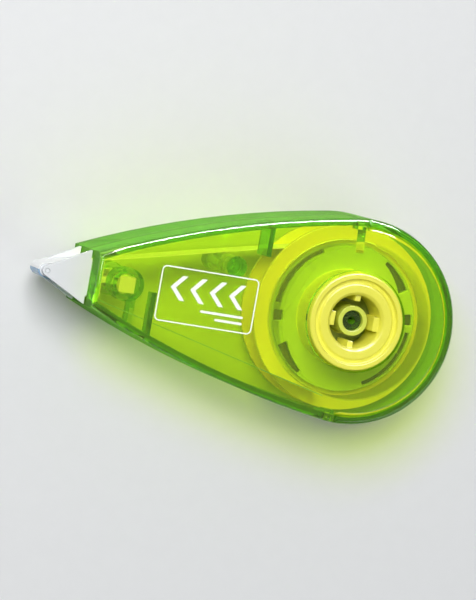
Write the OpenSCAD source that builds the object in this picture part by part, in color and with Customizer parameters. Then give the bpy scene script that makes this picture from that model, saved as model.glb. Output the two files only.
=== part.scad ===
// Mini correction tape roller with coaxial reels and a slip clutch.
// The tape leaves the supply reel, turns round the nose roller and returns to the take-up reel.
// It lies on its back face: X runs from the nose (-) to the round end (+), and Z is the thickness.

/* [Case] */
// Radius of the round end
case_r = 14.3; // [14:0.1:15]
// Distance from the reel axis to the narrow end
case_reach = 37.6; // [37:0.2:38.4]
// Half height of the narrow end
mouth_half = 3.8; // [3.7:0.1:4.2]
// Slope of the side edges where they leave the round end, in degrees
edge_slope = 8.6; // [8:0.2:9.6]
// Wall thickness
wall = 1.0; // [0.9:0.05:1.05]
// Radius of the winding hole in the front
window_r = 7.1; // [7:0.05:7.4]

/* [Tape] */
// Width of the tape
tape_w = 5; // [4.2:0.1:5]
// Thickness of the tape run, drawn thicker than the real film
tape_t = 0.12; // [0.08:0.02:0.14]
// Outer radius of the full supply coil
coil_r = 10; // [8:0.25:10]

/* [Reels] */
// Outer radius of the reel flanges
flange_r = 12.95; // [12.2:0.05:13]
// Outer radius of the take-up drum
drum_r = 10.9; // [10.5:0.1:11]
// Radius of the supply core
core_r = 4.6; // [4.5:0.1:5]
// Outer radius of the winding hub
hub_r = 6.75; // [6.5:0.05:6.8]
// Radius of the axle
axle_r = 1.4; // [1.3:0.05:1.5]
// Number of spring fingers cut into the take-up reel
fingers = 2; // [1:1:2]

/* [Nose] */
// Radius of the nose roller
roller_r = 0.85; // [0.75:0.05:0.9]
// Distance from the reel axis to the nose roller
roller_reach = 43.5; // [42.9:0.1:44]
// Side of the square post that holds the head
post_side = 2.2; // [1.8:0.1:2.2]

/* [Hidden] */
$fn = 96;

// Heights, from the back face up
floor_z = wall;
supply_flange_z = 1.95;
supply_flange_t = 0.6;
coil_z = 2.65;
web_z = 7.9;
web_t = 0.7;
film_z = 8.7;
cover_z = 13.9;
case_t = cover_z + wall;
part_z = 7.6;
mid_z = case_t / 2;
hub_top = case_t + 0.3;

// Clearances
run_gap = 0.05;
seam = 0.08;
eps = 0.01;

// Where the rim of the back half starts, and the step in that seam
seam_x = -1.6;
tongue = 0.95;
tongue_z = 12.4;

// The case shell
lip_inset = 0.58;
lip_h = 0.7;
end_wall = 0.9;
round_steps = 66;
side_steps = 10;

// The head and what holds it
head_z = 3.75;
head_w = case_t - 2 * head_z;
cheek_t = 1.0;
cheek_tip_r = 0.66;
cheek_base = 3.7;
cheek_root = 2.5;
pivot_r = 0.3;
flex_t = 0.8;
post_x = -32.9;
socket_r = 2.3;
socket_bore = post_side * sqrt(2) / 2 + 0.04;
socket_h = 3.4;
guide_pos = [-18.1, 4.8];
guide_r = 1.45;
guide_bore = 0.66;
guide_top = 9.4;
rib_t = 0.7;
low_rib_x = -29;
high_rib_x = -13.9;

// The side edge is one large arc that is tangent to the round end
edge_k = case_reach * sin(edge_slope) + mouth_half * cos(edge_slope);
edge_r = (case_reach ^ 2 + mouth_half ^ 2 + case_r ^ 2 - 2 * case_r * edge_k) / (2 * (case_r - edge_k));
edge_centre = (case_r - edge_r) * [-sin(edge_slope), cos(edge_slope)];

// Room that the tape takes at the nose, and the shift that centres the whole roller on X
nose_out = roller_r + 0.03 + tape_t;
centre_x = (roller_reach + nose_out - case_r) / 2;

function edge_angle(x, inset) = asin((-x + (edge_r - case_r) * sin(edge_slope)) / (edge_r - inset));
function edge_point(a, inset) = edge_centre + (edge_r - inset) * [-sin(a), cos(a)];
function edge_y(x, inset) = edge_point(edge_angle(x, inset), inset).y;
function edge_run(inset, end) =
    let (last = edge_angle(end - case_reach, inset))
    [for (k = [1:side_steps]) edge_point(edge_slope + (last - edge_slope) * k / side_steps, inset)];
function flipped(points) = [for (k = [len(points) - 1:-1:0]) [points[k].x, -points[k].y]];
function outline_points(inset, end) =
    let (half = 90 + edge_slope, side = edge_run(inset, end))
    concat([for (k = [0:round_steps]) let (a = half * (2 * k / round_steps - 1))
        (case_r - inset) * [cos(a), sin(a)]], side, flipped(side));

// Teardrop outline of the case, moved in by inset, with its narrow end moved in by end
module outline(inset = 0, end = 0) {
    polygon(outline_points(inset, end));
}

// Everything is drawn about the reel axis and then moved so that the roller is centred
module place() {
    translate([centre_x, 0, 0]) children();
}

module ring(outer, inner, z, h) {
    translate([0, 0, z]) difference() {
        cylinder(r = outer, h = h);
        translate([0, 0, -1]) cylinder(r = inner, h = h + 2);
    }
}

module skirt(outer, inner, z, h) {
    translate([0, 0, z]) linear_extrude(h) difference() {
        outline(outer);
        outline(inner, -1);
    }
}

// One side of the seam: -1 is the tapered part and 1 is the round end
module half_space(side, z, h, gap = 0) {
    translate([side > 0 ? seam_x + gap : seam_x - 60 - gap, -30, z]) cube([60, 60, h]);
}

// Wall across the narrow end, above or below the head
module end_plate(z, h) {
    translate([-case_reach, -edge_y(-case_reach, wall) - 0.2, z])
        cube([end_wall, 2 * (edge_y(-case_reach, wall) + 0.2), h]);
}

// Rib from y0 to the side wall, across the case at x
module rib(x, y0, side, z, h) {
    reach = edge_y(x, wall / 2) - y0;
    translate([x - rib_t / 2, side > 0 ? y0 : -y0 - reach, z]) cube([rib_t, reach, h]);
}

module head_socket(z) {
    translate([post_x, 0, 0]) ring(socket_r, socket_bore, z, socket_h);
}

module front_case() place() color([0.62, 0.82, 0.16, 0.5]) {
    difference() {
        union() {
            // Cover plate: the full outline over the taper, and inside the rim at the round end
            translate([0, 0, cover_z]) linear_extrude(wall) outline(0);
            skirt(0, wall, part_z + lip_h, cover_z - part_z - lip_h + eps);
            skirt(0, lip_inset - seam, part_z + seam, lip_h);
        }
        translate([0, 0, part_z - 1]) intersection() {
            linear_extrude(case_t) difference() {
                outline(-5);
                outline(wall + seam + 0.05);
            }
            union() {
                half_space(1, 0, tongue_z - part_z + 1, -seam);
                half_space(1, 0, case_t, tongue - seam);
            }
        }
        translate([0, 0, cover_z - 1]) cylinder(r = window_r, h = wall + 2);
    }
    // Snap hooks that hold the cover's edge to the rim of the back half
    for (side = [-1, 1]) translate([seam_x - 0.3, side > 0 ? 12.6 : -13.1, 11.4])
        cube([1.2, 0.5, cover_z - 11.4 + eps]);
    end_plate(head_z + head_w + 0.15, cover_z - head_z - head_w - 0.15 + eps);
    head_socket(cover_z - socket_h + eps);
    rib(low_rib_x, 0.5, -1, cover_z - 1.9, 1.9 + eps);
    rib(high_rib_x, 6.9, 1, cover_z - 4.6, 4.6 + eps);
    translate([guide_pos.x, guide_pos.y, guide_top - 2.4])
        cylinder(r = guide_bore - 0.03, h = cover_z - guide_top + 2.4 + eps);
    translate([guide_pos.x, guide_pos.y, guide_top + 0.2])
        cylinder(r = guide_r, h = cover_z - guide_top - 0.2 + eps);
}

// Ring of saw teeth that the pawls of the supply reel click over
module ratchet(z, h, teeth = 30, tip = 6.5, root = 7.0, outer = 7.6) {
    translate([0, 0, z]) linear_extrude(h) difference() {
        circle(r = outer);
        polygon([for (k = [0:teeth - 1], s = [0, 1])
            (s == 0 ? tip : root) * [cos((k + 0.85 * s) * 360 / teeth), sin((k + 0.85 * s) * 360 / teeth)]]);
    }
}

module back_case() place() color([0.62, 0.82, 0.16, 0.5]) {
    linear_extrude(wall) outline(0);
    skirt(0, wall, wall - eps, part_z - wall + eps);
    // Lip inside the front skirt, and the rim that stands round the cover at the round end
    intersection() {
        skirt(lip_inset, wall, part_z - eps, lip_h);
        half_space(-1, 0, case_t);
    }
    difference() {
        intersection() {
            skirt(0, wall, part_z - eps, case_t - part_z + eps);
            half_space(1, 0, case_t + 1, seam);
        }
        half_space(-1, tongue_z - seam, case_t, -tongue - seam);
    }
    end_plate(wall - eps, head_z - 0.15 - wall + eps);
    head_socket(wall - eps);
    rib(low_rib_x, 0.5, -1, wall - eps, 2.9);
    difference() {
        union() {
            translate([0, 0, wall - eps]) cylinder(r = 3.2, h = 0.7);
            translate([0, 0, wall - eps]) cylinder(r = axle_r, h = 12.8 - wall);
        }
        translate([0, 0, 8]) cylinder(r = axle_r - 0.85, h = 20);
    }
    ratchet(wall - eps, 0.85);
    translate([guide_pos.x, guide_pos.y, 0]) difference() {
        translate([0, 0, wall - eps]) cylinder(r = guide_r, h = guide_top - wall + eps);
        translate([0, 0, 4]) cylinder(r = guide_bore, h = guide_top);
    }
}

// Side of the head: a wedge that runs to a small round at the nose roller
module cheek_outline() {
    tip = [-roller_reach, 0];
    base = [-case_reach - 0.15, cheek_base];
    reach = norm(base - tip);
    a = atan2(base.y, base.x - tip.x) + acos(cheek_tip_r / reach);
    touch = tip + cheek_tip_r * [cos(a), sin(a)];
    translate(tip) circle(r = cheek_tip_r, $fn = 48);
    polygon([touch, base, [base.x, -base.y], [touch.x, -touch.y]]);
    translate([base.x - 0.5, -cheek_root]) square([2.4, 2 * cheek_root]);
}

module transfer_head() place() color("white") {
    difference() {
        union() {
            for (z = [head_z, head_z + head_w - cheek_t])
                translate([0, 0, z]) linear_extrude(cheek_t) cheek_outline();
            // Thin plate that carries the cheeks and lets the tip flex
            translate([-roller_reach + roller_r + 0.4, -flex_t / 2, head_z + eps])
                cube([roller_reach - roller_r - case_reach + 1.35, flex_t, head_w - 2 * eps]);
            translate([-case_reach, -flex_t / 2, wall + socket_h + 0.25])
                cube([case_reach + post_x, flex_t, case_t - 2 * (wall + socket_h + 0.25)]);
        }
        translate([-roller_reach, 0, 0]) cylinder(r = pivot_r + run_gap, h = case_t, $fn = 32);
    }
    translate([post_x - post_side / 2, -post_side / 2, wall + 0.3])
        cube([post_side, post_side, case_t - 2 * (wall + 0.3)]);
}

module nose_roller() place() color("gainsboro") translate([-roller_reach, 0, 0]) {
    barrel = head_w - 2 * cheek_t - 0.1;
    translate([0, 0, mid_z - barrel / 2]) cylinder(r = roller_r, h = barrel, $fn = 48);
    translate([0, 0, head_z + 0.05]) cylinder(r = pivot_r, h = head_w - 0.1, $fn = 32);
}

// Curved spring finger with a pawl at its free end
module pawl(sweep = 62) {
    linear_extrude(0.5) polygon(concat(
        [for (a = [0:2:sweep]) 5.25 * [cos(a), sin(a)]],
        [6.3 * [cos(sweep + 4), sin(sweep + 4)]],
        [for (a = [sweep:-2:0]) 5.85 * [cos(a), sin(a)]]));
    linear_extrude(supply_flange_z - wall - 0.2) rotate(7) translate([5.55, 0]) square([0.4, 1.1], center = true);
}

module supply_reel(keys = 3) place() color([0.93, 0.93, 0.45]) {
    difference() {
        union() {
            translate([0, 0, supply_flange_z]) cylinder(r = flange_r, h = supply_flange_t);
            translate([0, 0, supply_flange_z]) cylinder(r = core_r, h = coil_z + tape_w - supply_flange_z);
        }
        translate([0, 0, 0]) cylinder(r = axle_r + run_gap, h = 20);
        translate([0, 0, 3.3]) cylinder(r = 3.7, h = 20);
        for (k = [0:keys - 1]) rotate(40 + k * 360 / keys)
            translate([0, -0.65, 5.9]) cube([4.15, 1.3, 10]);
    }
    for (k = [0:2]) rotate(17 + 120 * k) translate([0, 0, wall + 0.23]) pawl();
}

module supply_coil() place() color("white") ring(coil_r, core_r + 0.01, coil_z, tape_w);

module partition_disc() place() color([0.2, 0.22, 0.14]) ring(coil_r + 0.6, core_r + 0.3, coil_z + tape_w + 0.07, 0.1);

module spring_washer() place() color("ivory") ring(3.5, axle_r + 0.1, 3.32, 0.25);

// Compression spring: a round wire swept along a helix with flat ends
module clutch_spring(turns = 4, wire = 0.2, mean = 2.75, sides = 8, steps = 18) {
    low = 3.6 + wire;
    high = 6.1 - wire;
    count = turns * steps;
    function rise(u) = let (t = max(0, min(1, (u * turns - 0.75) / (turns - 1.5)))) low + (high - low) * t;
    points = [for (k = [0:count], s = [0:sides - 1])
        let (a = 360 * k / steps, b = 360 * s / sides, r = mean + wire * cos(b))
        [r * cos(a), r * sin(a), rise(k / count) + wire * sin(b)]];
    faces = concat(
        [[for (s = [0:sides - 1]) s]],
        [for (k = [0:count - 1], s = [0:sides - 1]) let (n = (s + 1) % sides)
            [k * sides + s, (k + 1) * sides + s, (k + 1) * sides + n, k * sides + n]],
        [[for (s = [sides - 1:-1:0]) count * sides + s]]);
    place() color("silver") polyhedron(points = points, faces = faces);
}

module clutch_plate(keys = 3) place() color("ivory") difference() {
    union() {
        translate([0, 0, 6.13]) cylinder(r = 3.55, h = 0.7);
        for (k = [0:keys - 1]) rotate(40 + k * 360 / keys) translate([0, -0.55, 6.13]) cube([4.05, 1.1, 0.7]);
    }
    cylinder(r = axle_r + 0.1, h = 20);
}

module friction_ring() place() color("dimgray") ring(3.4, 2.3, 6.85, 1.03);

// Arc slot from angle start, as wide as first there and as last at its end
module arc_slot(start, sweep, first, last, outer = 10.1, steps = 20) {
    polygon(concat(
        [for (k = [0:steps]) let (a = start + sweep * k / steps) outer * [cos(a), sin(a)]],
        [for (k = [steps:-1:0]) let (a = start + sweep * k / steps, w = first + (last - first) * k / steps)
            (outer - w) * [cos(a), sin(a)]]));
}

// Slots round a spring finger of the take-up reel: its long side, the window at its tip and its tapered end
module finger_slots() {
    arc_slot(117, 59, 0.6, 0.65);
    arc_slot(182, 9, 1.3, 1.3, 10.1, 4);
    arc_slot(211, 29, 1.4, 0.55, 10.1, 10);
}

module take_up_reel() place() color([0.93, 0.93, 0.45]) {
    top = hub_top;
    translate([0, 0, web_z]) difference() {
        cylinder(r = flange_r, h = web_t);
        translate([0, 0, -1]) cylinder(r = axle_r + run_gap, h = 3);
        for (k = [0:fingers - 1]) rotate(k * 360 / fingers)
            translate([0, 0, -1]) linear_extrude(3) finger_slots();
    }
    ring(axle_r + 0.7, axle_r + run_gap, web_z + web_t - eps, 4.8);
    ring(drum_r, drum_r - 0.6, web_z + web_t - eps, tape_w + eps);
    // Winding hub: outer skirt, dished top and toothed inner tube in one turned shape
    rotate_extrude() polygon([[3.7, web_z + web_t - eps], [4.3, web_z + web_t - eps], [4.3, top - 1.4],
        [hub_r - 0.6, top - 1.4], [hub_r - 0.6, web_z + web_t - eps], [hub_r, web_z + web_t - eps],
        [hub_r, top - 0.15], [hub_r - 0.15, top], [hub_r - 0.75, top], [hub_r - 0.9, top - 0.6],
        [hub_r - 1.35, top - 0.6], [hub_r - 1.6, top - 0.25],
        [4.1, top - 0.35], [3.7, top - 0.75]]);
    // Two broad ribs and two narrow ones inside the hub
    for (k = [0, 1]) rotate(180 * k) {
        translate([2.8, -1, web_z + web_t - eps]) cube([1.05, 2, top - 1.2 - web_z - web_t]);
        rotate(90) translate([2.8, -0.4, web_z + web_t - eps]) cube([1.05, 0.8, top - 1.2 - web_z - web_t]);
    }
}

module take_up_coil() place() color([0.55, 0.72, 0.9]) ring(drum_r + 0.18, drum_r + 0.01, film_z, tape_w);

// One run of tape: round the nose from its front, then straight to the reel while it shifts along Z.
// side is 1 for the run above the head and -1 for the run below it.
module run_strip(reel_r, reel_z, side) {
    inner = roller_r + 0.03;
    reel = reel_r + 0.03;
    a = asin((reel - inner) / roller_reach);
    straight = roller_reach * cos(a);
    level = sqrt((flange_r + 0.5) ^ 2 - reel ^ 2) + 1;
    head_reach = roller_reach - case_reach + 2.6;
    wrap_steps = 10;
    run_steps = 20;
    function ease(t) = let (u = max(0, min(1, t))) u * u * (3 - 2 * u);
    // A station is [x, y, z, angle of the outward normal]
    wrap = [for (k = [0:wrap_steps]) let (n = 180 - (90 - a) * k / wrap_steps)
        [-roller_reach + inner * cos(n), inner * sin(n), mid_z, n]];
    run = [for (k = [1:run_steps]) let (d = straight * k / run_steps, n = 90 + a)
        [wrap[wrap_steps].x + d * cos(a), wrap[wrap_steps].y + d * sin(a),
            mid_z + (reel_z - mid_z) * ease((d - head_reach) / (straight - level - head_reach)), n]];
    stations = concat(wrap, run);
    points = [for (p = stations, c = [[0, -1], [tape_t, -1], [tape_t, 1], [0, 1]])
        [p[0] + c[0] * cos(p[3]), side * (p[1] + c[0] * sin(p[3])), p[2] + c[1] * tape_w / 2]];
    last = 4 * (len(stations) - 1);
    faces = concat([[0, 1, 2, 3]],
        [for (k = [0:len(stations) - 2], s = [0:3]) let (n = (s + 1) % 4)
            [4 * k + s, 4 * k + 4 + s, 4 * k + 4 + n, 4 * k + n]],
        [[last + 3, last + 2, last + 1, last]]);
    polyhedron(points = points, faces = side > 0 ? [for (f = faces) [for (k = [len(f) - 1:-1:0]) f[k]]] : faces);
}

module tape_run() place() color("white") run_strip(coil_r, coil_z + tape_w / 2, 1);

module film_run() place() color([0.55, 0.72, 0.9]) run_strip(drum_r + 0.18, film_z + tape_w / 2, -1);

front_case();
back_case();
transfer_head();
nose_roller();
supply_reel();
supply_coil();
partition_disc();
spring_washer();
clutch_spring();
clutch_plate();
friction_ring();
take_up_reel();
take_up_coil();
tape_run();
film_run();
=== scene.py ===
"""Correction tape roller: looks, light and camera. Lengths are in metres, in the frame of the CAD model."""
import math

import bmesh
import bpy
from mathutils import Matrix, Vector


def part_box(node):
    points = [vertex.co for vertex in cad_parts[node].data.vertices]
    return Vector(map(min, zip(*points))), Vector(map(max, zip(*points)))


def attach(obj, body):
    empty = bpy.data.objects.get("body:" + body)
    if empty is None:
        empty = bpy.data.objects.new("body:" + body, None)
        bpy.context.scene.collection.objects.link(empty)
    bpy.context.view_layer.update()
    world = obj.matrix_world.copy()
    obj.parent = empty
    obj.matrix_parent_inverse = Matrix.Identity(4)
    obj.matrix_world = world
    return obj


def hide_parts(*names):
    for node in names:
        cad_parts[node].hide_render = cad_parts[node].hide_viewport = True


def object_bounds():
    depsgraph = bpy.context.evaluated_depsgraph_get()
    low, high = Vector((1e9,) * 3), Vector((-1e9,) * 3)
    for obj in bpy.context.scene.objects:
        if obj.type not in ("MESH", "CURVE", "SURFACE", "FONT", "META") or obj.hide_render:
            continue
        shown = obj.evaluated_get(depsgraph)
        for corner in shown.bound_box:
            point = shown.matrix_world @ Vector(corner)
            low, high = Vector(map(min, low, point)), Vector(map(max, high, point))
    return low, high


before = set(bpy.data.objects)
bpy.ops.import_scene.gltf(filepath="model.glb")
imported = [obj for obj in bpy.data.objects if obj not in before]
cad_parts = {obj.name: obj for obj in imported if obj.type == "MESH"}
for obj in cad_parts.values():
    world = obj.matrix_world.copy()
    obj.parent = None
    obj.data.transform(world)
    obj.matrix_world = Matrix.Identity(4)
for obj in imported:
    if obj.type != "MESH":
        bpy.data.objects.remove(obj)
cad_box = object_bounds()

MM = 0.001
AXLE_X = (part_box("take_up_reel")[0][0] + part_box("take_up_reel")[1][0]) / 2
FRONT_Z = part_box("front_case")[1][2]
PLASTIC_IOR = 1.49

# The guide post: its place from the axle, and the reach round it that takes in its faces
POST_X, POST_Y, POST_REACH = -18.1 * MM, 4.8 * MM, 1.7 * MM
# A face of the case this near its outline counts as outside
OUTLINE_DEPTH = 0.12 * MM
# The rounding of the case's outer edges, and the reach from the axle that keeps the winding hole's edges sharp
CASE_ROUNDING, HOLE_REACH = 0.6 * MM, 9 * MM

# Edges that turn further than this are rounded, and those that turn further than this are shaded as sharp
ROUNDED_FROM, SHARP_FROM = math.radians(28), math.radians(30)

# The printed label: its frame in millimetres from the axle, the line's width, and the ink's place on the cover
LABEL_FRAME, LABEL_CORNER, LABEL_LINE = (-28.6, -4.0, -14.8, 3.5), 0.6, 0.18 * MM
LABEL_SINK, LABEL_INK = 0.004 * MM, 0.03 * MM
# Its chevrons, and its bars as height, start and end, all in millimetres from the axle
CHEVRONS, CHEVRON_START, CHEVRON_STEP = 4, -27.1, 2.8
BARS = ((-1.95, -22.4, -16.2), (-2.8, -20.2, -16.2))
BAR_HALF, BAR_CORNER = 0.17, 0.16

# The camera: how far it leans to the nose and to the upper side, its roll, its lens and the width that it sees
LEAN_NOSE, LEAN_UP, ROLL = (math.radians(a) for a in (17, 3, 10.5))
LENS, SENSOR, SEEN_WIDTH = 300.0, 36.0, 0.0660

# Half the floor's width, and its depth under the part
FLOOR_HALF, FLOOR_DROP = 3.0, 0.02 * MM


# ---------------------------------------------------------------- materials

class Tree:
    """A new material's node tree, with short calls for the nodes used here."""

    def __init__(self, name):
        self.material = bpy.data.materials.new(name)
        self.material.use_nodes = True
        self.nodes = self.material.node_tree.nodes
        self.links = self.material.node_tree.links
        self.nodes.clear()
        self.out = self.nodes.new("ShaderNodeOutputMaterial")

    def node(self, kind, **values):
        made = self.nodes.new(kind)
        for key, value in values.items():
            if hasattr(made, key):
                setattr(made, key, value)
            else:
                self.put(made, key.replace("_", " "), value)
        return made

    def put(self, made, socket, value):
        socket = made.inputs[socket]
        if isinstance(value, bpy.types.NodeSocket):
            self.links.new(value, socket)
        else:
            socket.default_value = value

    def link(self, source, made, socket):
        self.links.new(source, made.inputs[socket])

    def place(self, scale=(1.0, 1.0, 1.0)):
        coords = self.node("ShaderNodeTexCoord")
        mapping = self.node("ShaderNodeMapping")
        mapping.inputs["Scale"].default_value = scale
        self.link(coords.outputs["Object"], mapping, "Vector")
        return mapping.outputs["Vector"]

    def noise(self, scale, detail=3.0, roughness=0.5, stretch=(1.0, 1.0, 1.0)):
        made = self.node("ShaderNodeTexNoise")
        self.link(self.place(stretch), made, "Vector")
        made.inputs["Scale"].default_value = scale
        made.inputs["Detail"].default_value = detail
        made.inputs["Roughness"].default_value = roughness
        return made.outputs["Fac"]

    def spread(self, source, low, high, start=0.0, end=1.0):
        made = self.node("ShaderNodeMapRange")
        self.link(source, made, "Value")
        made.inputs["From Min"].default_value = start
        made.inputs["From Max"].default_value = end
        made.inputs["To Min"].default_value = low
        made.inputs["To Max"].default_value = high
        return made.outputs["Result"]

    def blend(self, factor, first, second):
        made = self.node("ShaderNodeMix", data_type="RGBA")
        if isinstance(factor, bpy.types.NodeSocket):
            self.link(factor, made, 0)
        else:
            made.inputs[0].default_value = factor
        for slot, colour in ((6, first), (7, second)):
            if isinstance(colour, bpy.types.NodeSocket):
                self.link(colour, made, slot)
            else:
                made.inputs[slot].default_value = (*colour, 1.0)
        return made.outputs[2]

    def maths(self, operation, first, second=None):
        made = self.node("ShaderNodeMath", operation=operation)
        for slot, value in ((0, first), (1, second)):
            if value is None:
                continue
            if isinstance(value, bpy.types.NodeSocket):
                self.link(value, made, slot)
            else:
                made.inputs[slot].default_value = value
        return made.outputs[0]

    def bump(self, height, strength, distance):
        made = self.node("ShaderNodeBump")
        made.inputs["Strength"].default_value = strength
        made.inputs["Distance"].default_value = distance
        self.link(height, made, "Height")
        return made.outputs["Normal"]

    def between(self, source, low, high, soft=0.15):
        """1 where source is from low to high, with soft ends."""
        return self.maths("MULTIPLY", self.spread(source, 0.0, 1.0, low - soft, low),
                          self.spread(source, 1.0, 0.0, high, high + soft))

    def position(self):
        coords = self.node("ShaderNodeTexCoord")
        parts = self.node("ShaderNodeSeparateXYZ")
        self.link(coords.outputs["Object"], parts, "Vector")
        return parts.outputs

    def height(self):
        """Height above the back face, in millimetres."""
        return self.maths("MULTIPLY", self.position()["Z"], 1 / MM)

    def radius(self):
        """Distance from the reel axis, in millimetres."""
        place = self.position()
        dx = self.maths("SUBTRACT", place["X"], AXLE_X)
        squares = self.maths("ADD", self.maths("MULTIPLY", dx, dx), self.maths("MULTIPLY", place["Y"], place["Y"]))
        return self.maths("MULTIPLY", self.maths("SQRT", squares), 1 / MM)


def clear_lime():
    """Clear tinted plastic: it bends light, is tinted by the thickness it crosses, and lets lamps through.
    The mesh value wall is 0 on plates, 0.5 on inner walls and 1 on the outside walls. Walls get painted shade: a
    darker green glass colour, deepest on the outside walls, for the dark edges that long paths through the plastic
    give. Faces turned up or down keep clear glass so their edge highlights stay white."""
    t = Tree("clear_lime_plastic")
    fine = t.noise(900.0, 4.0, 0.55)
    broad = t.noise(95.0, 2.0, 0.5)
    normal = t.bump(t.maths("ADD", t.maths("MULTIPLY", fine, 0.2), broad), 0.08, 0.0002)
    wall = t.node("ShaderNodeAttribute", attribute_type="GEOMETRY", attribute_name="wall").outputs["Fac"]
    facing = t.node("ShaderNodeSeparateXYZ")
    t.link(t.node("ShaderNodeNewGeometry").outputs["True Normal"], facing, "Vector")
    # Painted shade: the wall value, kept off faces turned up or down, darkens the glass colour to deep green on
    # upright walls.
    wall = t.maths("MULTIPLY", wall, t.spread(t.maths("ABSOLUTE", facing.outputs["Z"]), 1.0, 0.0, 0.3, 0.5))
    glass_painted_shade = t.blend(t.spread(wall, 0.0, 1.0, 0.0, 0.5), (1.0, 1.0, 1.0), (0.52, 0.84, 0.40))
    glass_painted_shade = t.blend(t.spread(wall, 0.0, 1.0, 0.5, 1.0), glass_painted_shade, (0.34, 0.68, 0.22))
    clear = t.node("ShaderNodeBsdfGlass", IOR=PLASTIC_IOR, Roughness=0.015)
    t.link(glass_painted_shade, clear, "Color")
    t.link(normal, clear, "Normal")
    milk = t.node("ShaderNodeBsdfTranslucent")
    t.link(t.blend(broad, (0.62, 0.93, 0.13), (0.72, 0.98, 0.17)), milk, "Color")
    skin = t.node("ShaderNodeBsdfDiffuse", Color=(0.66, 0.96, 0.24, 1.0))
    body = t.node("ShaderNodeMixShader")
    body.inputs[0].default_value = 0.45
    t.link(milk.outputs[0], body, 1)
    t.link(skin.outputs[0], body, 2)
    haze = t.node("ShaderNodeMixShader")
    t.link(t.spread(wall, 0.085, 0.10), haze, 0)
    t.link(clear.outputs[0], haze, 1)
    t.link(body.outputs[0], haze, 2)
    lamps = t.node("ShaderNodeLightPath")
    open_rays = t.maths("MAXIMUM", lamps.outputs["Is Shadow Ray"], lamps.outputs["Is Diffuse Ray"])
    through = t.node("ShaderNodeBsdfTransparent", Color=(1.0, 1.0, 1.0, 1.0))
    top = t.node("ShaderNodeMixShader")
    t.link(open_rays, top, 0)
    t.link(haze.outputs[0], top, 1)
    t.link(through.outputs[0], top, 2)
    t.link(top.outputs[0], t.out, "Surface")
    tint = t.node("ShaderNodeVolumeAbsorption", Color=(0.925, 0.984, 0.045, 1.0), Density=1500.0)
    t.link(tint.outputs[0], t.out, "Volume")
    return t.material


def moulded(name, colour, darker, translucent=0.0, roughness=(0.28, 0.42), coat=0.2, grain=1400.0,
            bands=(), clear_wall=None):
    """Moulded plastic with a fine grain, slight colour drift and, where asked, light coming through it.
    bands are tints between two radii from the reel axis and below a height, all in millimetres.
    clear_wall is the ring, from a height up, that is thin enough to see through."""
    t = Tree(name)
    fine = t.noise(grain, 4.0, 0.6)
    broad = t.noise(130.0, 3.0, 0.5)
    shade = t.blend(t.spread(broad, 0.0, 1.0, 0.3, 0.7), darker, colour)
    for inner, outer, top, tint in bands:
        low = t.spread(t.height(), 1.0, 0.0, top, top + 0.3)
        shade = t.blend(t.maths("MULTIPLY", t.between(t.radius(), inner, outer), low), shade, tint)
    skin = t.node("ShaderNodeBsdfPrincipled")
    t.link(shade, skin, "Base Color")
    t.link(t.spread(fine, *roughness), skin, "Roughness")
    skin.inputs["IOR"].default_value = PLASTIC_IOR
    skin.inputs["Coat Weight"].default_value = coat
    skin.inputs["Coat Roughness"].default_value = 0.15
    t.link(t.bump(fine, 0.3, 0.00004), skin, "Normal")
    last = skin.outputs[0]
    if translucent:
        glow = t.node("ShaderNodeBsdfTranslucent")
        t.link(shade, glow, "Color")
        mix = t.node("ShaderNodeMixShader")
        mix.inputs[0].default_value = translucent
        t.link(last, mix, 1)
        t.link(glow.outputs[0], mix, 2)
        last = mix.outputs[0]
    if clear_wall:
        inner, outer, low, tint = clear_wall
        ring = t.maths("MULTIPLY", t.between(t.radius(), inner, outer),
                       t.spread(t.height(), 0.0, 1.0, low, low + 0.2))
        open_part = t.node("ShaderNodeBsdfTransparent", Color=(*tint, 1.0))
        mix = t.node("ShaderNodeMixShader")
        t.link(t.maths("MULTIPLY", ring, 0.96), mix, 0)
        t.link(last, mix, 1)
        t.link(open_part.outputs[0], mix, 2)
        last = mix.outputs[0]
    t.link(last, t.out, "Surface")
    return t.material


def wound(name, edge, line, face, pitch):
    """A wound coil: fine turns on its sides, smooth on its outer turn."""
    t = Tree(name)
    r = t.radius()
    drift = t.maths("MULTIPLY", t.noise(260.0, 2.0), 0.5)
    wander = t.maths("ADD", r, t.maths("MULTIPLY", drift, 0.25))
    turns = t.maths("FRACT", t.maths("MULTIPLY", wander, 1.0 / pitch))
    wave = t.maths("PINGPONG", turns, 0.5)
    shade = t.blend(t.spread(wave, 0.0, 1.0, 0.08, 0.4), line, edge)
    shade = t.blend(t.spread(t.noise(180.0, 3.0), 0.0, 0.35, 0.35, 0.75), shade, face)
    skin = t.node("ShaderNodeBsdfPrincipled")
    t.link(shade, skin, "Base Color")
    t.link(t.spread(t.noise(1100.0), 0.4, 0.65), skin, "Roughness")
    t.link(t.bump(wave, 0.5, 0.00004), skin, "Normal")
    t.link(skin.outputs[0], t.out, "Surface")
    return t.material


def film(name, colour, alpha, roughness, coat=0.4):
    """Thin film: glossy, with soft waves along its length."""
    t = Tree(name)
    waves = t.noise(220.0, 2.0, 0.4, (1.0, 1.0, 0.25))
    skin = t.node("ShaderNodeBsdfPrincipled")
    t.link(t.blend(waves, [c * 0.9 for c in colour], colour), skin, "Base Color")
    t.link(t.spread(waves, roughness, roughness + 0.12), skin, "Roughness")
    skin.inputs["Coat Weight"].default_value = coat
    skin.inputs["Coat Roughness"].default_value = 0.08
    t.link(t.bump(waves, 0.25, 0.0002), skin, "Normal")
    if alpha < 1.0:
        through = t.node("ShaderNodeBsdfTransparent", Color=(*[0.55 + 0.45 * c for c in colour], 1.0))
        mix = t.node("ShaderNodeMixShader")
        mix.inputs[0].default_value = alpha
        t.link(through.outputs[0], mix, 1)
        t.link(skin.outputs[0], mix, 2)
        t.link(mix.outputs[0], t.out, "Surface")
    else:
        t.link(skin.outputs[0], t.out, "Surface")
    return t.material


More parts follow.
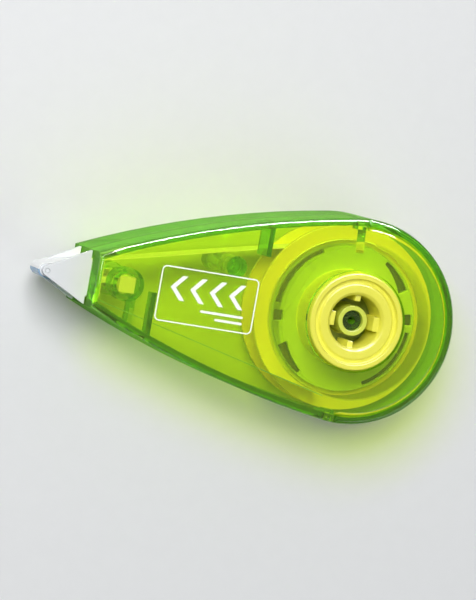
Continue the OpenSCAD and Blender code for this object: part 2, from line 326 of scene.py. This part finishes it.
def steel():
    t = Tree("spring_steel_wire")
    lines = t.noise(700.0, 3.0, 0.6, (1.0, 1.0, 9.0))
    skin = t.node("ShaderNodeBsdfPrincipled", Metallic=1.0)
    t.link(t.blend(lines, (0.42, 0.42, 0.43), (0.66, 0.66, 0.68)), skin, "Base Color")
    t.link(t.spread(lines, 0.2, 0.42), skin, "Roughness")
    t.link(t.bump(lines, 0.2, 0.00003), skin, "Normal")
    t.link(skin.outputs[0], t.out, "Surface")
    return t.material


def rubber():
    t = Tree("friction_rubber_ring")
    grain = t.noise(2600.0, 5.0, 0.7)
    skin = t.node("ShaderNodeBsdfPrincipled")
    t.link(t.blend(grain, (0.015, 0.016, 0.017), (0.045, 0.045, 0.05)), skin, "Base Color")
    t.link(t.spread(grain, 0.55, 0.85), skin, "Roughness")
    t.link(t.bump(grain, 0.5, 0.00005), skin, "Normal")
    t.link(skin.outputs[0], t.out, "Surface")
    return t.material


def ink():
    """White printing: a little uneven, so the plastic tints its thin spots."""
    t = Tree("white_print")
    speckle = t.noise(5200.0, 4.0, 0.65)
    skin = t.node("ShaderNodeBsdfPrincipled")
    thin = t.spread(speckle, 0.0, 0.4, 0.4, 0.75)
    t.link(t.blend(thin, (0.94, 0.96, 0.94), (0.70, 0.84, 0.45)), skin, "Base Color")
    t.link(t.spread(speckle, 0.35, 0.6), skin, "Roughness")
    t.link(t.bump(speckle, 0.3, 0.00002), skin, "Normal")
    t.link(skin.outputs[0], t.out, "Surface")
    return t.material


def floor_paper():
    t = Tree("pale_floor")
    grain = t.noise(420.0, 4.0, 0.6)
    skin = t.node("ShaderNodeBsdfPrincipled")
    t.link(t.blend(grain, (0.72, 0.725, 0.73), (0.75, 0.755, 0.76)), skin, "Base Color")
    skin.inputs["Roughness"].default_value = 0.8
    skin.inputs["Specular IOR Level"].default_value = 0.08
    t.link(t.bump(grain, 0.1, 0.0001), skin, "Normal")
    t.link(skin.outputs[0], t.out, "Surface")
    return t.material


LIME = clear_lime()
REEL = moulded("milky_lime_reel", (0.97, 0.82, 0.09), (0.93, 0.78, 0.07), translucent=0.18, coat=0.1)
NEAR_REEL = moulded("near_reel_plastic", (0.95, 0.92, 0.10), (0.91, 0.88, 0.085), translucent=0.15, coat=0.1,
                    bands=((6.9, 10.25, 16.0, (0.55, 0.72, 0.14)), (1.3, 2.12, 16.0, (0.68, 0.76, 0.09)),
                           # Painted shade: the floor of the hub's deep pocket between the ribs, below 9.2 mm, is
                           # tinted darker green.
                           (2.3, 3.7, 9.2, (0.42, 0.52, 0.08)),
                           (10.9, 14.0, 16.0, (0.98, 0.81, 0.12))),
                    clear_wall=(10.26, 11.0, 8.75, (0.95, 0.98, 0.75)))
WHITE = moulded("white_head_plastic", (0.80, 0.815, 0.83), (0.74, 0.76, 0.79), translucent=0.1, roughness=(0.3, 0.45))
ROLLER = moulded("nose_roller_plastic", (0.80, 0.82, 0.84), (0.72, 0.75, 0.78), roughness=(0.2, 0.32), grain=2200.0)
IVORY = moulded("clutch_plastic", (0.80, 0.78, 0.66), (0.72, 0.70, 0.58), translucent=0.1)
COIL = wound("wound_tape", (0.90, 0.91, 0.90), (0.55, 0.60, 0.66), (0.84, 0.86, 0.86), 0.24)
TAPE = film("coated_tape", (0.90, 0.91, 0.91), 1.0, 0.4)
FILM = film("carrier_film", (0.30, 0.56, 0.82), 0.72, 0.12)
USED = film("wound_film", (0.86, 0.93, 0.90), 0.05, 0.15)
# The slip disc is painted near black: painted shade, so the near reel's slots read as dark openings.
SLIP_DISC_PAINTED_SHADE = film("slip_disc_film_painted_shade", (0.035, 0.030, 0.012), 0.96, 0.75, coat=0.0)
STEEL = steel()
RUBBER = rubber()
INK = ink()


# ---------------------------------------------------------------- pieces

def wall_kind(face, hull):
    """0 for plates and the guide post, 0.5 for upright walls and ribs, and 1 for the outside of the case."""
    middle = face.calc_center_median()
    post = Vector((AXLE_X + POST_X, POST_Y, middle.z))
    if abs(face.normal.z) > 0.3 or (middle - post).length < POST_REACH:
        return 0.0
    reach = max(v.dot(face.normal) for v in hull)
    return 1.0 if reach - middle.dot(face.normal) < OUTLINE_DEPTH else 0.5


def refined(node, name, body, material, width, segments, weigh=None, walls=False):
    """The CAD node's shape as a new piece, with its edges rounded.
    weigh(middle, normals) gives an edge's share of width.
    walls marks the case's faces for their material and lets its rounding keep its full width."""
    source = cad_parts[node].data
    work = bmesh.new()
    work.from_mesh(source)
    bmesh.ops.remove_doubles(work, verts=work.verts, dist=2e-7)
    bmesh.ops.dissolve_limit(work, angle_limit=math.radians(0.3), verts=work.verts, edges=work.edges,
                             delimit={"NORMAL"}, use_dissolve_boundaries=False)
    layer = work.edges.layers.float.new("bevel_weight_edge")
    for edge in work.edges:
        if len(edge.link_faces) != 2:
            continue
        if edge.calc_face_angle(0.0) > ROUNDED_FROM:
            middle = (edge.verts[0].co + edge.verts[1].co) / 2
            edge[layer] = 1.0 if weigh is None else weigh(middle, [f.normal for f in edge.link_faces])
    if walls:
        # The wall value sets the painted shade of the case's walls in their material.
        mark = work.faces.layers.float.new("wall")
        hull = [v.co.copy() for v in work.verts]
        for face in work.faces:
            face[mark] = wall_kind(face, hull)
    for face in work.faces:
        face.smooth = True
    mesh = bpy.data.meshes.new(name)
    work.to_mesh(mesh)
    work.free()
    piece = bpy.data.objects.new(name, mesh)
    bpy.context.scene.collection.objects.link(piece)
    mesh.materials.append(material)
    mesh.set_sharp_from_angle(angle=SHARP_FROM)
    bevel = piece.modifiers.new("edges", "BEVEL")
    bevel.limit_method = "WEIGHT"
    bevel.width = width
    bevel.segments = segments
    bevel.use_clamp_overlap = not walls
    bevel.harden_normals = True
    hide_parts(node)
    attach(piece, body)


def outer_rim(*heights):
    """Weight for the case: only the outside edges of its flat faces at these heights are rounded."""
    def weigh(middle, normals):
        level = any(abs(middle.z - height) < 0.01 * MM for height in heights)
        if level and any(abs(n.z) > 0.9 for n in normals):
            upright = [n for n in normals if abs(n.z) < 0.5]
            away = Vector((middle.x - AXLE_X, middle.y, 0))
            if upright and upright[0].dot(away) > 0 and away.length > HOLE_REACH:
                return 1.0
        return 0.0
    return weigh


refined("front_case", "front_cover", "housing", LIME, CASE_ROUNDING, 4, outer_rim(FRONT_Z),
        walls=True)
refined("back_case", "back_shell", "housing", LIME, CASE_ROUNDING, 4, outer_rim(FRONT_Z, 0.0),
        walls=True)
refined("transfer_head", "tape_head", "housing", WHITE, 0.14 * MM, 3)
refined("take_up_reel", "near_reel", "take_up", NEAR_REEL, 0.12 * MM, 2)
refined("supply_reel", "far_reel", "supply", REEL, 0.1 * MM, 2)

for node, material in (("nose_roller", ROLLER), ("supply_coil", COIL), ("partition_disc", SLIP_DISC_PAINTED_SHADE),
                       ("spring_washer", IVORY), ("clutch_spring", STEEL), ("clutch_plate", IVORY),
                       ("friction_ring", RUBBER), ("take_up_coil", USED), ("tape_run", TAPE), ("film_run", FILM)):
    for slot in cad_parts[node].material_slots:
        slot.material = material


def ribbon(work, points, width, z, thick):
    """A flat printed line of even width along a closed path."""
    count = len(points)
    rows = []
    for i, point in enumerate(points):
        along = (Vector(points[(i + 1) % count]) - Vector(points[i - 1])).normalized()
        across = Vector((-along.y, along.x)) * width / 2
        here = Vector(point)
        rows.append([work.verts.new((*(here + across * side), z + lift))
                     for side, lift in ((1, 0.0), (-1, 0.0), (-1, thick), (1, thick))])
    for i in range(count):
        a, b = rows[i], rows[(i + 1) % count]
        for s in range(4):
            n = (s + 1) % 4
            work.faces.new((a[s], b[s], b[n], a[n]))


def rounded(x0, y0, x1, y1, r, steps=6):
    """The outline of a rectangle with round corners."""
    corners = ((x1 - r, y1 - r, 0), (x0 + r, y1 - r, 90), (x0 + r, y0 + r, 180), (x1 - r, y0 + r, 270))
    return [(cx + r * math.cos(math.radians(a + 90 * k / steps)), cy + r * math.sin(math.radians(a + 90 * k / steps)))
            for cx, cy, a in corners for k in range(steps + 1)]


def plate(work, points, z, thick):
    """A flat printed shape with this outline."""
    low = [work.verts.new((x, y, z)) for x, y in points]
    high = [work.verts.new((x, y, z + thick)) for x, y in points]
    work.faces.new(low[::-1])
    work.faces.new(high)
    for i in range(len(points)):
        n = (i + 1) % len(points)
        work.faces.new((low[i], low[n], high[n], high[i]))


def label():
    """The printed frame line, with plain chevrons that point to the nose and two plain bars."""
    work = bmesh.new()
    z = FRONT_Z - LABEL_SINK

    def from_axle(points):
        return [(AXLE_X + x * MM, y * MM) for x, y in points]

    ribbon(work, from_axle(rounded(*LABEL_FRAME, LABEL_CORNER)), LABEL_LINE, z, LABEL_INK)
    for k in range(CHEVRONS):
        x = CHEVRON_START + CHEVRON_STEP * k
        plate(work, from_axle([(x, 0.75), (x + 1.5, 2.45), (x + 2.25, 2.45), (x + 0.75, 0.75),
                               (x + 2.25, -0.95), (x + 1.5, -0.95)]), z, LABEL_INK)
    for y, x0, x1 in BARS:
        plate(work, from_axle(rounded(x0, y - BAR_HALF, x1, y + BAR_HALF, BAR_CORNER, 3)), z, LABEL_INK)
    bmesh.ops.recalc_face_normals(work, faces=work.faces)
    mesh = bpy.data.meshes.new("label_print")
    work.to_mesh(mesh)
    work.free()
    piece = bpy.data.objects.new("label_print", mesh)
    bpy.context.scene.collection.objects.link(piece)
    mesh.materials.append(INK)
    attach(piece, "housing")


label()


# ---------------------------------------------------------------- stage, light and camera

def stage():
    mesh = bpy.data.meshes.new("floor")
    corners = [(FLOOR_HALF * x, FLOOR_HALF * y, 0) for x, y in ((-1, -1), (1, -1), (1, 1), (-1, 1))]
    mesh.from_pydata(corners, [], [(0, 1, 2, 3)])
    ground = bpy.data.objects.new("floor", mesh)
    ground.location.z = -FLOOR_DROP
    bpy.context.scene.collection.objects.link(ground)
    mesh.materials.append(floor_paper())


def area(name, place, aim, size, power, colour=(1.0, 1.0, 1.0), glints_only=False):
    data = bpy.data.lights.new(name, "AREA")
    data.shape = "RECTANGLE"
    data.size, data.size_y = size
    data.energy = power
    data.color = colour
    lamp = bpy.data.objects.new(name, data)
    lamp.location = place
    lamp.rotation_euler = (Vector(aim) - Vector(place)).to_track_quat("-Z", "Y").to_euler()
    bpy.context.scene.collection.objects.link(lamp)
    lamp.visible_diffuse = not glints_only
    lamp.visible_transmission = not glints_only


def camera():
    low, high = (Vector(v) for v in cad_box)
    target = (low + high) / 2
    sight = Vector((-math.sin(LEAN_NOSE), math.sin(LEAN_UP), 1.0))
    sight.z = math.sqrt(1.0 - sight.x ** 2 - sight.y ** 2)
    up = Vector((-math.sin(ROLL), math.cos(ROLL), 0.0))
    right = up.cross(sight).normalized()
    up = sight.cross(right)
    data = bpy.data.cameras.new("camera")
    data.lens = LENS
    data.sensor_fit = "HORIZONTAL"
    data.sensor_width = SENSOR
    data.clip_start = 0.01
    eye = bpy.data.objects.new("camera", data)
    turn = Matrix((right, up, sight)).transposed().to_4x4()
    eye.matrix_world = Matrix.Translation(target + sight * SEEN_WIDTH * LENS / SENSOR) @ turn
    bpy.context.scene.collection.objects.link(eye)
    bpy.context.scene.camera = eye


stage()
centre = Vector((0.0, 0.0, 0.007))
area("key", (-0.16, 0.20, 0.42), centre, (0.26, 0.20), 2.2)
area("edge_strip", (0.02, 0.36, 0.22), centre, (0.50, 0.20), 16.0, glints_only=True)
area("fill", (0.30, -0.22, 0.34), centre, (0.30, 0.30), 0.5, (0.95, 0.98, 1.0))
world = bpy.data.worlds.new("soft_room")
world.use_nodes = True
sky = world.node_tree.nodes["Background"].inputs
sky["Color"].default_value = (0.93, 0.96, 1.0, 1.0)
sky["Strength"].default_value = 0.19
bpy.context.scene.world = world
bpy.context.scene.view_settings.view_transform = "Standard"
camera()
